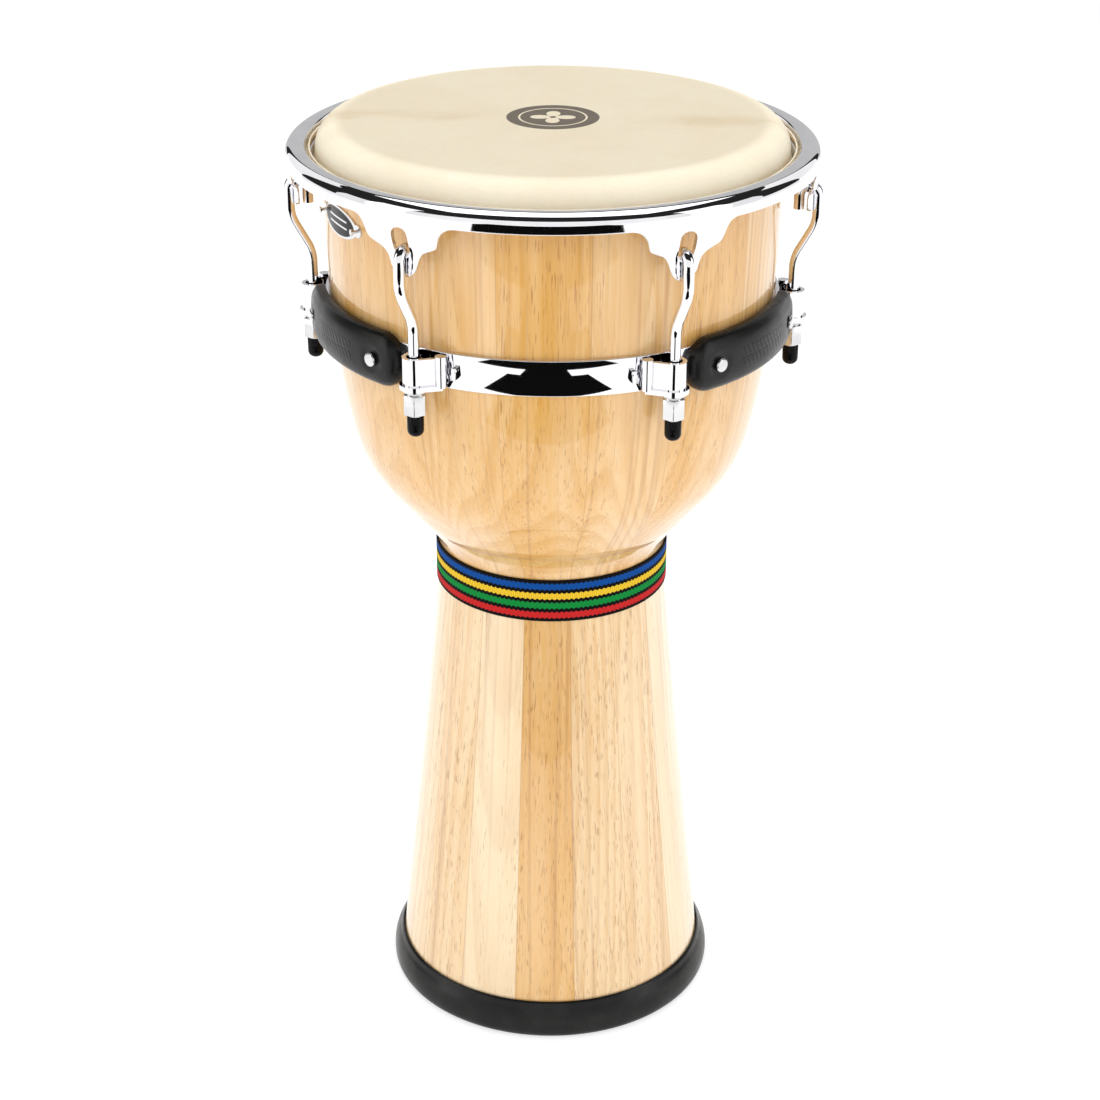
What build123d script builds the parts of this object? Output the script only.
"""Stave-built djembe with a steel tuning rim, six hook lugs and a rubber foot.

Units are millimetres. +Z is up. The origin is the centre of the floor contact, so the drum stands on Z = 0.
Lug 1 is at 30 degrees to the left of the front (-Y), and the lugs follow every 60 degrees.
"""
import os
from math import cos, hypot, radians, sin

from build123d import *

os.makedirs("parts", exist_ok=True)

# ---------------------------------------------------------------- driving dimensions
HEAD_Z = 622.0                 # playing surface above the floor
HEAD_R = 133.5                 # flat part of the playing surface
SKIN_T = 0.9                   # goat or calf skin
SHOULDER_R = 16.0              # how the skin rolls over the bearing edge
COLLAR_R = HEAD_R + SHOULDER_R
COLLAR_Z = 592.0               # lower end of the collar, behind the wrapped hoop

STAVES = 16
STAVE_ARC = 360.0 / STAVES
GLUE_LINE = 0.04               # degrees left between two staves
JOINT_Z = 318.0                # bowl staves meet pipe staves, under the strap
WAIST_R = 77.0
WALL = 12.0
PIPE_BASE_Z = 5.0
PIPE_BASE_R = 108.5
PIPE_TOP_Z = 306.0

STRAP_Z = (306.7, 336.5)
STRAP_T = 1.2

BAND_Z = (490.0, 513.5)
BAND_T = 2.5
SEAT = ((141.1, 486.0), (144.0, 516.0))     # straight taper that the band wedges on
WALL_TOP = (146.0, 600.0)                   # upper end of the near-upright bowl wall

LUGS = 6
LUG_R = 155.5                  # rod axis from the drum's axis
FIRST_LUG = -120.0             # polar angle of lug 1, from +X
ROD_R = 3.55
THREAD_R = 3.95
THREAD_CLEAR = 0.05
ROD_END_Z = 463.0
THREAD_TOP_Z = 506.0

HOOK_OUT_R = 168.5
CURL_R = 6.0
CURL_Z = 574.0
HOOK_TIP_Z = 565.0

PLATE_Z = (491.0, 494.0)       # bottom plate of a bracket
BRACKET_TOP_Z = 511.0
WASHER_T = 1.6
NUT_Z = (474.5, 489.3)
NUT_FLATS = 13.0
CAP_Z = (459.8, 473.4)
CAP_R = 5.2

RIM_SHEET = 3.0
EAR_BOTTOM_Z = 562.8
SLOT_W = 11.5
SLOT_Z = (575.8, 594.5)
HOOP_WIRE_R = 3.2
HOOP_R = 154.1
HOOP_Z = 599.4

RIM_EDGE_Z = 597.5             # lower edge of the rim between two ears
RIM_OUT_R = 168.4
EAR_OUT_R = 164.0
LIP = (159.0, 606.3)           # centre of the rolled lip: radius, height
LIP_R = 4.0
SKIN_TAIL = 5.0                # trimmed skin standing above the wrapped hoop

BRACKET_NOSE_R = 7.5
BRACKET_WALL = 2.5
BRACKET_LIP = 1.8              # how far the bottom plate stands out past the walls
BAND_CUT_R = 140.0             # brackets and handles are drawn back to here, then cut by the band's cone
CORE_Z = (480.0, 525.0)        # height of that cone
BEAD = (149.8, 15.4)           # rolled bead that hooks the bracket to the band: radius, offset
BEAD_R = 3.6
BEAD_Z = (493.0, 512.5)
ROD_HOLE_R = 4.5
WASHER_R = 7.5
WASHER_HOLE_R = 4.3
NUT_CONE = 2.0
CAP_DOME = 4.2
TONGUE_OFFSET = -8.7           # degrees from a lug, away from its handle
TONGUE_Z = 501.5
TONGUE = (3.0, 8.0)
TONGUE_OUT = 5.0

BADGE_ANGLE = -152.0           # polar angle of the badge's middle
BADGE_Z = (564.5, 583.5)
BADGE_T = 0.9
BADGE_HALF_WIDTH = 26.0
BADGE_EAR_R = 4.0
BADGE_PIN_R = 1.0
BADGE_PIN_OUT_R = 147.2
BADGE_PIN_LENGTH = 12.0

HANDLES = 3
HANDLE_Z = (485.5, 519.0)
HANDLE_OUT_R = 156.0
HANDLE_LENGTH = 129.0          # straight across, end to end
HANDLE_END_R = 15.0
HANDLE_EDGE = 5.0
RIVET_OFFSET = 17.0            # degrees from a handle's middle to each rivet
RIVET_Z = 501.0
RIVET_R = 2.4
RIVET_HEAD_R = 4.4
RIVET_HEAD_T = 1.6
RIVET_GAP = 0.4                # the shank stops short of the wooden shell


def export(piece, name):
    """Label a finished piece and write it as one STEP file."""
    piece.part.label = name
    export_step(piece.part, f"parts/{name}.step")


def seat_radius(z):
    """Radius of the shell's straight taper at a height."""
    (low_r, low_z), (high_r, high_z) = SEAT
    return low_r + (z - low_z) * (high_r - low_r) / (high_z - low_z)


def wall_radius(z):
    """Outer radius of the near-upright bowl wall above the band."""
    return SEAT[1][0] + (z - SEAT[1][1]) * (WALL_TOP[0] - SEAT[1][0]) / (WALL_TOP[1] - SEAT[1][1])


def lug_angle(index):
    """Polar angle of a lug, counted from 0."""
    return FIRST_LUG + index * 360.0 / LUGS


def handle_side(index):
    """Which way round the drum the handle lies from a lug: -1 is clockwise, 1 is anticlockwise."""
    return -1 if index % 2 == 0 else 1


def handle_angle(index):
    """Polar angle of a handle's middle: the right, back and left gaps between lugs."""
    return -30.0 + index * 360.0 / HANDLES


def rivet_angles():
    """Polar angles of all the handle rivets."""
    return [handle_angle(index) + side * RIVET_OFFSET for index in range(HANDLES) for side in (-1, 1)]


def far_out(edge):
    """True for an edge that lies on the outer face of a rivet head."""
    middle = edge.arc_center
    return hypot(middle.X, middle.Y) > HANDLE_OUT_R + RIVET_HEAD_T / 2


def radial_plane(angle, height=0.0, radius=0.0):
    """Plane that holds the drum's axis: local X points outwards, local Y up."""
    out = (cos(radians(angle)), sin(radians(angle)), 0)
    return Plane(
        origin=(radius * out[0], radius * out[1], height),
        x_dir=out,
        z_dir=(out[1], -out[0], 0),
    )


def facing_plane(angle, height=0.0, radius=0.0):
    """Plane square to the radius: local X runs anticlockwise round the drum, local Y up."""
    out = (cos(radians(angle)), sin(radians(angle)), 0)
    return Plane(
        origin=(radius * out[0], radius * out[1], height),
        x_dir=(-out[1], out[0], 0),
        z_dir=out,
    )


# ---------------------------------------------------------------- shell
with BuildPart() as bowl_stave:
    with BuildSketch(Plane.XZ):
        with BuildLine():
            Line((WAIST_R - WALL, JOINT_Z), (WAIST_R, JOINT_Z))
            Line((WAIST_R, JOINT_Z), (WAIST_R, 337))
            Spline(
                (WAIST_R, 337),
                (88.6, 355.5),
                (106.0, 375.3),
                (120.5, 395),
                (130.8, 421),
                (137.0, 452),
                SEAT[0],
                tangents=((0, 1), (0.096, 1)),
            )
            Line(SEAT[0], SEAT[1])
            Line(SEAT[1], WALL_TOP)
            ThreePointArc(WALL_TOP, (142.5, 614), (134.3, 620.9))
            ThreePointArc((134.3, 620.9), (132.9, 620.4), (132.3, 618.5))
            Line((132.3, 618.5), (132.3, 540))
            Line((132.3, 540), (130.1, 487))
            Spline(
                (130.1, 487),
                (120.2, 424),
                (111.1, 400.7),
                (97.6, 382.4),
                (79.8, 362.1),
                (WAIST_R - WALL, 340),
                tangents=((-0.05, -1), (0, -1)),
            )
            Line((WAIST_R - WALL, 340), (WAIST_R - WALL, JOINT_Z))
        make_face()
    revolve(axis=Axis.Z, revolution_arc=STAVE_ARC - GLUE_LINE)

with BuildSketch() as pipe_wall:
    with BuildLine():
        Line((PIPE_BASE_R - WALL, PIPE_BASE_Z), (PIPE_BASE_R, PIPE_BASE_Z))
        ThreePointArc((PIPE_BASE_R, PIPE_BASE_Z), (91.3, 162), (WAIST_R, PIPE_TOP_Z))
        Line((WAIST_R, PIPE_TOP_Z), (WAIST_R, JOINT_Z))
        Line((WAIST_R, JOINT_Z), (WAIST_R - WALL, JOINT_Z))
        Line((WAIST_R - WALL, JOINT_Z), (PIPE_BASE_R - WALL, PIPE_BASE_Z))
    make_face()

with BuildPart() as pipe_stave:
    with BuildSketch(Plane.XZ):
        add(pipe_wall.sketch)
    revolve(axis=Axis.Z, revolution_arc=STAVE_ARC - GLUE_LINE)

with BuildPart() as bowl_staves:
    with PolarLocations(0, STAVES, start_angle=-90 - STAVE_ARC / 2):
        add(bowl_stave.part)
export(bowl_staves, "bowl_staves")

with BuildPart() as pipe_staves:
    with PolarLocations(0, STAVES, start_angle=-90 - STAVE_ARC / 2):
        add(pipe_stave.part)
export(pipe_staves, "pipe_staves")

with BuildPart() as foot_ring:
    with BuildSketch(Plane.XZ):
        with BuildLine():
            Line((96, 0), (109.5, 0))
            ThreePointArc((109.5, 0), (112.6, 1.6), (113.8, 5))
            Spline((113.8, 5), (113.2, 13), (109.3, 22), (107.2, 26), tangents=((0, 1), (-0.6, 1)))
            Line((107.2, 26), (100, 26))
            Line((100, 26), (100, 17))
            Line((100, 17), (92.8, 17))
            Line((92.8, 17), (92.8, 3))
            ThreePointArc((92.8, 3), (93.8, 0.9), (96, 0))
        make_face()
    revolve(axis=Axis.Z)
    with BuildSketch(Plane.XZ):
        add(pipe_wall.sketch)
    revolve(axis=Axis.Z, mode=Mode.SUBTRACT)
export(foot_ring, "foot_ring")

with BuildPart() as waist_strap:
    with BuildSketch(Plane.XZ):
        with Locations((WAIST_R, STRAP_Z[0])):
            Rectangle(STRAP_T, STRAP_Z[1] - STRAP_Z[0], align=(Align.MIN, Align.MIN))
    revolve(axis=Axis.Z)
export(waist_strap, "waist_strap")

with BuildPart() as name_badge:
    with BuildSketch(Plane.XZ):
        with BuildLine():
            Polyline(
                (wall_radius(BADGE_Z[0]), BADGE_Z[0]),
                (wall_radius(BADGE_Z[0]) + BADGE_T, BADGE_Z[0]),
                (wall_radius(BADGE_Z[1]) + BADGE_T, BADGE_Z[1]),
                (wall_radius(BADGE_Z[1]), BADGE_Z[1]),
                close=True,
            )
        make_face()
    revolve(axis=Axis.Z)
    with BuildSketch(facing_plane(BADGE_ANGLE, sum(BADGE_Z) / 2)):
        Ellipse(BADGE_HALF_WIDTH, (BADGE_Z[1] - BADGE_Z[0]) / 2)
        for side in (-1, 1):
            with Locations((side * BADGE_HALF_WIDTH, 0)):
                Circle(BADGE_EAR_R)
    extrude(amount=2 * WALL_TOP[0], mode=Mode.INTERSECT)
    for side in (-1, 1):
        with BuildSketch(facing_plane(BADGE_ANGLE, sum(BADGE_Z) / 2)):
            with Locations((side * BADGE_HALF_WIDTH, 0)):
                Circle(BADGE_PIN_R)
        extrude(amount=2 * WALL_TOP[0], mode=Mode.SUBTRACT)
export(name_badge, "name_badge")

with BuildPart() as badge_pins:
    for side in (-1, 1):
        with BuildSketch(facing_plane(BADGE_ANGLE, sum(BADGE_Z) / 2, BADGE_PIN_OUT_R)):
            with Locations((side * BADGE_HALF_WIDTH, 0)):
                Circle(BADGE_PIN_R)
        extrude(amount=-BADGE_PIN_LENGTH)
        with BuildSketch(facing_plane(BADGE_ANGLE, sum(BADGE_Z) / 2, BADGE_PIN_OUT_R)):
            with Locations((side * BADGE_HALF_WIDTH, 0)):
                Circle(2 * BADGE_PIN_R)
        extrude(amount=BADGE_PIN_R)
    with BuildSketch(Plane.XZ):
        with BuildLine():
            Polyline((0, BADGE_Z[0]), (wall_radius(BADGE_Z[0]), BADGE_Z[0]),
                     (wall_radius(BADGE_Z[1]), BADGE_Z[1]), (0, BADGE_Z[1]), close=True)
        make_face()
    revolve(axis=Axis.Z, mode=Mode.SUBTRACT)
export(badge_pins, "badge_pins")

# ---------------------------------------------------------------- drumhead
with BuildPart() as head_skin:
    with BuildSketch(Plane.XZ):
        for drop, mode in ((0, Mode.ADD), (SKIN_T, Mode.SUBTRACT)):
            with BuildLine():
                Line((0, COLLAR_Z), (0, HEAD_Z - drop))
                Line((0, HEAD_Z - drop), (HEAD_R, HEAD_Z - drop))
                CenterArc((HEAD_R, HEAD_Z - SHOULDER_R), SHOULDER_R - drop, 0, 90)
                Line((COLLAR_R - drop, HEAD_Z - SHOULDER_R), (COLLAR_R - drop, COLLAR_Z))
                Line((COLLAR_R - drop, COLLAR_Z), (0, COLLAR_Z))
            make_face(mode=mode)
    revolve(axis=Axis.Z)
export(head_skin, "head_skin")

with BuildPart() as flesh_hoop:
    with BuildSketch(Plane.XZ):
        with Locations((HOOP_R, HOOP_Z)):
            Circle(HOOP_WIRE_R)
    revolve(axis=Axis.Z)
export(flesh_hoop, "flesh_hoop")

with BuildPart() as skin_wrap:
    with BuildSketch(Plane.XZ):
        with Locations((HOOP_R, HOOP_Z)):
            Circle(HOOP_WIRE_R + SKIN_T)
        with Locations((HOOP_R - SKIN_T, HOOP_Z + HOOP_WIRE_R)):
            Rectangle(SKIN_T, SKIN_TAIL, align=(Align.CENTER, Align.MIN))
        with Locations((HOOP_R, HOOP_Z)):
            Circle(HOOP_WIRE_R, mode=Mode.SUBTRACT)
    revolve(axis=Axis.Z)
export(skin_wrap, "skin_wrap")

# ---------------------------------------------------------------- steel rim
with BuildPart() as rim_ear:
    with BuildSketch(Plane.XZ):
        with BuildLine():
            Line((RIM_OUT_R, 600), (RIM_OUT_R, 593))
            Spline((RIM_OUT_R, 593), (165.6, 582), (EAR_OUT_R, 573), tangents=((0, -1), (0, -1)))
            Line((EAR_OUT_R, 573), (EAR_OUT_R, EAR_BOTTOM_Z))
            Line((EAR_OUT_R, EAR_BOTTOM_Z), (EAR_OUT_R - RIM_SHEET, EAR_BOTTOM_Z))
            Line((EAR_OUT_R - RIM_SHEET, EAR_BOTTOM_Z), (EAR_OUT_R - RIM_SHEET, 573))
            Spline(
                (EAR_OUT_R - RIM_SHEET, 573),
                (162.8, 583),
                (RIM_OUT_R - RIM_SHEET, 593),
                tangents=((0, 1), (0, 1)),
            )
            Line((RIM_OUT_R - RIM_SHEET, 593), (RIM_OUT_R - RIM_SHEET, 600))
            Line((RIM_OUT_R - RIM_SHEET, 600), (RIM_OUT_R, 600))
        make_face()
    revolve(axis=Axis.Z)
    with BuildSketch(facing_plane(0)):
        with BuildLine():
            for side in (-1, 1):
                Line((side * 40, 600), (side * 40, RIM_EDGE_Z))
                Line((side * 40, RIM_EDGE_Z), (side * 36, RIM_EDGE_Z))
                ThreePointArc((side * 36, RIM_EDGE_Z), (side * 29, 594.8), (side * 25.8, 588.4))
                ThreePointArc((side * 25.8, 588.4), (side * 24.6, 585), (side * 22, 582.9))
                Line((side * 22, 582.9), (side * 16.5, 580.3))
                ThreePointArc((side * 16.5, 580.3), (side * 11.4, 575.6), (side * 8.8, 568.5))
            ThreePointArc((-8.8, 568.5), (0, EAR_BOTTOM_Z), (8.8, 568.5))
            Line((-40, 600), (40, 600))
        make_face()
    extrude(amount=2 * COLLAR_R, mode=Mode.INTERSECT)
    with BuildSketch(facing_plane(0, sum(SLOT_Z) / 2)):
        SlotOverall(SLOT_Z[1] - SLOT_Z[0], SLOT_W, rotation=90)
    extrude(amount=2 * COLLAR_R, mode=Mode.SUBTRACT)

with BuildPart() as rim:
    with BuildSketch(Plane.XZ):
        with BuildLine():
            Spline((LIP[0], LIP[1] + LIP_R), (164.6, 607.6), (RIM_OUT_R, 600), tangents=((1, 0), (0, -1)))
            Line((RIM_OUT_R, 600), (RIM_OUT_R, RIM_EDGE_Z))
            Line((RIM_OUT_R, RIM_EDGE_Z), (RIM_OUT_R - RIM_SHEET, RIM_EDGE_Z))
            Line((RIM_OUT_R - RIM_SHEET, RIM_EDGE_Z), (RIM_OUT_R - RIM_SHEET, 600))
            Spline((RIM_OUT_R - RIM_SHEET, 600), (162.5, 605.3), (LIP[0], LIP[1]), tangents=((0, 1), (-1, 0)))
            Line((LIP[0], LIP[1]), (LIP[0], LIP[1] + LIP_R))
        make_face()
        with Locations(LIP):
            Circle(LIP_R)
    revolve(axis=Axis.Z)
    with PolarLocations(0, LUGS, start_angle=FIRST_LUG):
        add(rim_ear.part)
export(rim, "rim")

# ---------------------------------------------------------------- tuning band, brackets and washers
with BuildPart() as band:
    with BuildSketch(Plane.XZ):
        with BuildLine():
            Polyline(
                (seat_radius(BAND_Z[0]), BAND_Z[0]),
                (seat_radius(BAND_Z[0]) + BAND_T, BAND_Z[0]),
                (seat_radius(BAND_Z[1]) + BAND_T, BAND_Z[1]),
                (seat_radius(BAND_Z[1]), BAND_Z[1]),
                close=True,
            )
        make_face()
    revolve(axis=Axis.Z)
    for lug in range(LUGS):
        angle = lug_angle(lug) + handle_side(lug) * TONGUE_OFFSET
        with BuildSketch(facing_plane(angle, TONGUE_Z, seat_radius(TONGUE_Z) + 1)):
            RectangleRounded(*TONGUE, 1.2)
        extrude(amount=TONGUE_OUT)
    for angle in rivet_angles():
        with BuildSketch(facing_plane(angle, RIVET_Z)):
            Circle(RIVET_R)
        extrude(amount=2 * HANDLE_OUT_R, mode=Mode.SUBTRACT)
export(band, "band")


with BuildPart() as band_core:
    with BuildSketch(Plane.XZ):
        with BuildLine():
            Polyline(
                (0, CORE_Z[0]),
                (seat_radius(CORE_Z[0]) + BAND_T, CORE_Z[0]),
                (seat_radius(CORE_Z[1]) + BAND_T, CORE_Z[1]),
                (0, CORE_Z[1]),
                close=True,
            )
        make_face()
    revolve(axis=Axis.Z)


def bracket_plan(side, grow=0.0):
    """A bracket from above: a straight wall beside the handle, a slanted wall on the other side."""
    nose = BRACKET_NOSE_R + grow
    straight = side * nose
    slant = (LUG_R + nose * cos(radians(60)), -side * nose * sin(radians(60)))
    bead = (BEAD[0] + grow / 2, -side * (BEAD[1] + grow))
    with BuildSketch() as plan:
        with BuildLine():
            Line((BAND_CUT_R, straight), (LUG_R, straight))
            ThreePointArc((LUG_R, straight), (LUG_R + nose, 0), slant)
            Line(slant, bead)
            Line(bead, (BAND_CUT_R, bead[1]))
            Line((BAND_CUT_R, bead[1]), (BAND_CUT_R, straight))
        make_face()
    return plan.sketch


def lug_bracket(side):
    """One bracket on the +X side: folded wall, bottom plate and rolled bead."""
    with BuildPart() as bracket:
        with BuildSketch(Plane.XY.offset(PLATE_Z[0])):
            add(bracket_plan(side))
        extrude(amount=BRACKET_TOP_Z - PLATE_Z[0])
        with BuildSketch(Plane.XY.offset(PLATE_Z[1])):
            add(bracket_plan(side, -BRACKET_WALL))
        extrude(amount=BRACKET_TOP_Z - PLATE_Z[1], mode=Mode.SUBTRACT)
        with BuildSketch(Plane.XY.offset(PLATE_Z[0])):
            add(bracket_plan(side, BRACKET_LIP))
        extrude(amount=PLATE_Z[1] - PLATE_Z[0])
        with BuildSketch(Plane.XY.offset(BEAD_Z[0])):
            with Locations((BEAD[0], -side * BEAD[1])):
                Circle(BEAD_R)
        extrude(amount=BEAD_Z[1] - BEAD_Z[0])
        with BuildSketch(Plane.XY.offset(PLATE_Z[0])):
            with Locations((LUG_R, 0)):
                Circle(ROD_HOLE_R)
        extrude(amount=PLATE_Z[1] - PLATE_Z[0], mode=Mode.SUBTRACT)
        add(band_core.part, mode=Mode.SUBTRACT)
    return bracket.part


BRACKETS = {side: lug_bracket(side) for side in (-1, 1)}
for lug in range(LUGS):
    with BuildPart() as bracket:
        add(BRACKETS[handle_side(lug)], rotation=(0, 0, lug_angle(lug)))
    export(bracket, f"lug_bracket_{lug + 1}")

with BuildPart() as tuning_washers:
    with PolarLocations(LUG_R, LUGS, start_angle=FIRST_LUG):
        with Locations((0, 0, PLATE_Z[0] - WASHER_T)):
            Cylinder(WASHER_R, WASHER_T, align=(Align.CENTER, Align.CENTER, Align.MIN))
            Cylinder(
                WASHER_HOLE_R,
                WASHER_T,
                align=(Align.CENTER, Align.CENTER, Align.MIN),
                mode=Mode.SUBTRACT,
            )
export(tuning_washers, "tuning_washers")

# ---------------------------------------------------------------- hooks, nuts and caps
with BuildPart() as hook:
    with BuildLine(radial_plane(0)):
        rise = FilletPolyline(
            (LUG_R, THREAD_TOP_Z),
            (LUG_R, 532),
            (HOOK_OUT_R, 555),
            (HOOK_OUT_R, CURL_Z),
            radius=14,
        )
        CenterArc((HOOK_OUT_R - CURL_R, CURL_Z), CURL_R, 0, 180)
        Line((HOOK_OUT_R - 2 * CURL_R, CURL_Z), (HOOK_OUT_R - 2 * CURL_R, HOOK_TIP_Z))
    with BuildSketch(Plane.XY.offset(THREAD_TOP_Z)):
        with Locations((LUG_R, 0)):
            Circle(ROD_R)
    sweep()
    with BuildSketch(Plane.XY.offset(ROD_END_Z)):
        with Locations((LUG_R, 0)):
            Circle(THREAD_R)
    extrude(amount=THREAD_TOP_Z - ROD_END_Z)

with BuildPart() as nut:
    with BuildSketch(Plane.XY.offset(NUT_Z[0])):
        with Locations((LUG_R, 0)):
            RegularPolygon(NUT_FLATS / 2, 6, major_radius=False)
    extrude(amount=NUT_Z[1] - NUT_Z[0])
    with BuildSketch(radial_plane(0)):
        with BuildLine():
            Polyline(
                (LUG_R, NUT_Z[0]),
                (LUG_R + NUT_FLATS / 2, NUT_Z[0]),
                (LUG_R + NUT_FLATS / 2 + 1.2, NUT_Z[0] + 1.2),
                (LUG_R + NUT_FLATS / 2 + 1.2, NUT_Z[1] - NUT_CONE - 1.5),
                (LUG_R + NUT_FLATS / 2 - 0.8, NUT_Z[1] - NUT_CONE),
                (LUG_R + NUT_FLATS / 2 - 1.2, NUT_Z[1]),
                (LUG_R, NUT_Z[1]),
                close=True,
            )
        make_face()
    revolve(axis=Axis((LUG_R, 0, 0), (0, 0, 1)), mode=Mode.INTERSECT)
    with BuildSketch(Plane.XY.offset(NUT_Z[0])):
        with Locations((LUG_R, 0)):
            Circle(THREAD_R + THREAD_CLEAR)
    extrude(amount=NUT_Z[1] - NUT_Z[0], mode=Mode.SUBTRACT)

with BuildPart() as cap:
    with BuildSketch(Plane.XY.offset(CAP_Z[0])):
        with Locations((LUG_R, 0)):
            Circle(CAP_R)
    extrude(amount=CAP_Z[1] - CAP_Z[0])
    fillet(cap.edges().sort_by(Axis.Z)[0], CAP_DOME)
    fillet(cap.edges().sort_by(Axis.Z)[-1], 0.7)
    with BuildSketch(Plane.XY.offset(ROD_END_Z)):
        with Locations((LUG_R, 0)):
            Circle(THREAD_R)
    extrude(amount=CAP_Z[1] - ROD_END_Z, mode=Mode.SUBTRACT)

for lug in range(LUGS):
    for original, name in ((hook, "tuning_hook"), (nut, "tuning_nut"), (cap, "end_cap")):
        with BuildPart() as copy:
            add(original.part, rotation=(0, 0, lug_angle(lug)))
        export(copy, f"{name}_{lug + 1}")

# ---------------------------------------------------------------- handles and rivets
with BuildPart() as grip:
    with BuildSketch(Plane.XZ):
        with Locations((HANDLE_OUT_R, sum(HANDLE_Z) / 2)):
            Rectangle(HANDLE_OUT_R - BAND_CUT_R, HANDLE_Z[1] - HANDLE_Z[0], align=(Align.MAX, Align.CENTER))
    revolve(axis=Axis.Z)
    with BuildSketch(facing_plane(0, sum(HANDLE_Z) / 2)):
        RectangleRounded(HANDLE_LENGTH, HANDLE_Z[1] - HANDLE_Z[0], HANDLE_END_R)
    extrude(amount=2 * HANDLE_OUT_R, mode=Mode.INTERSECT)
    outer_face = grip.faces().filter_by(GeomType.CYLINDER).sort_by(SortBy.AREA)[-1]
    fillet(outer_face.edges(), HANDLE_EDGE)
    add(band_core.part, mode=Mode.SUBTRACT)
    for side in (-1, 1):
        with BuildSketch(facing_plane(side * RIVET_OFFSET, RIVET_Z)):
            Circle(RIVET_R)
        extrude(amount=2 * HANDLE_OUT_R, mode=Mode.SUBTRACT)

for index in range(HANDLES):
    with BuildPart() as handle:
        add(grip.part, rotation=(0, 0, handle_angle(index)))
    export(handle, f"handle_{index + 1}")

with BuildPart() as handle_rivets:
    for angle in rivet_angles():
        with BuildSketch(facing_plane(angle, RIVET_Z, seat_radius(RIVET_Z) + RIVET_GAP)):
            Circle(RIVET_R)
        extrude(amount=HANDLE_OUT_R - seat_radius(RIVET_Z) - RIVET_GAP)
        with BuildSketch(facing_plane(angle, RIVET_Z, HANDLE_OUT_R)):
            Circle(RIVET_HEAD_R)
        extrude(amount=RIVET_HEAD_T)
    heads = handle_rivets.edges().filter_by(GeomType.CIRCLE)
    fillet([edge for edge in heads if round(edge.radius, 3) == RIVET_HEAD_R and far_out(edge)], 1.2)
export(handle_rivets, "handle_rivets")
